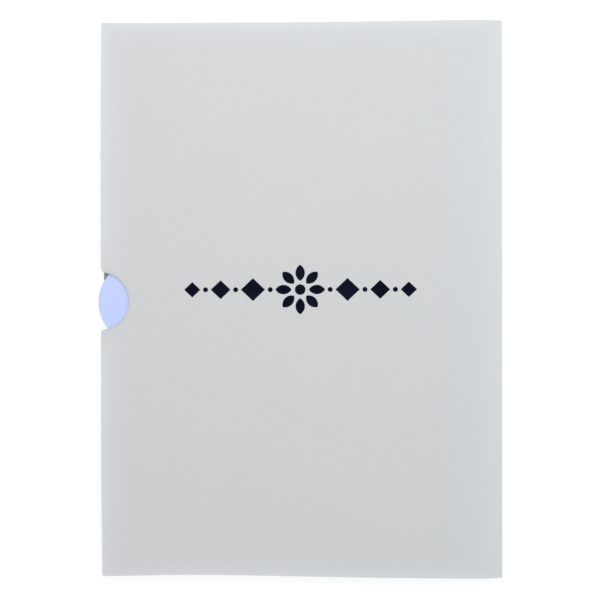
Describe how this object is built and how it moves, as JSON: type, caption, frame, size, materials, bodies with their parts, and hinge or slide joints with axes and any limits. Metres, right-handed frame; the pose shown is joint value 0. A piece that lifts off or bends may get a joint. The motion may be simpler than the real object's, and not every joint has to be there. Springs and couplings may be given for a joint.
{
  "type": "pop-up greeting card",
  "caption": "Closed pop-up greeting card lying on its front, with a half-round thumb notch at the open edge and a pull-out note card in a pocket behind the back cover.",
  "frame": {"origin": "middle of the front panel's outer face, which the closed card lies on", "axes": "+X from the open edge to the fold, +Y up the card, +Z out of the back cover"},
  "size_m": [0.1308, 0.18, 0.0038],
  "materials": {
    "cover_card": "matt, smooth, very fine fibre grain",
    "liner_card": "matt dark grey",
    "note_card": "matt pale periwinkle",
    "tape": "plain double-sided tape",
    "popup_blue": "matt card",
    "popup_white": "matt card",
    "popup_grey": "matt card",
    "print_ink": "flat near-black print"
  },
  "bodies": {
    "card": {"cover": "cover_card", "liner": "liner_card", "pocket_tape_top": "tape", "pocket_tape_bottom": "tape", "pocket_tape_fold": "tape", "popup_tall": "popup_blue", "popup_middle": "popup_white", "popup_low": "popup_grey", "back_ornament": "print_ink"},
    "note": {"note_card": "note_card"}
  },
  "joints": [
    {"name": "note_slide", "type": "slide", "parent": "card", "child": "note", "axis": [-1, 0, 0], "range_m": [0, 0.118]}
  ]
}
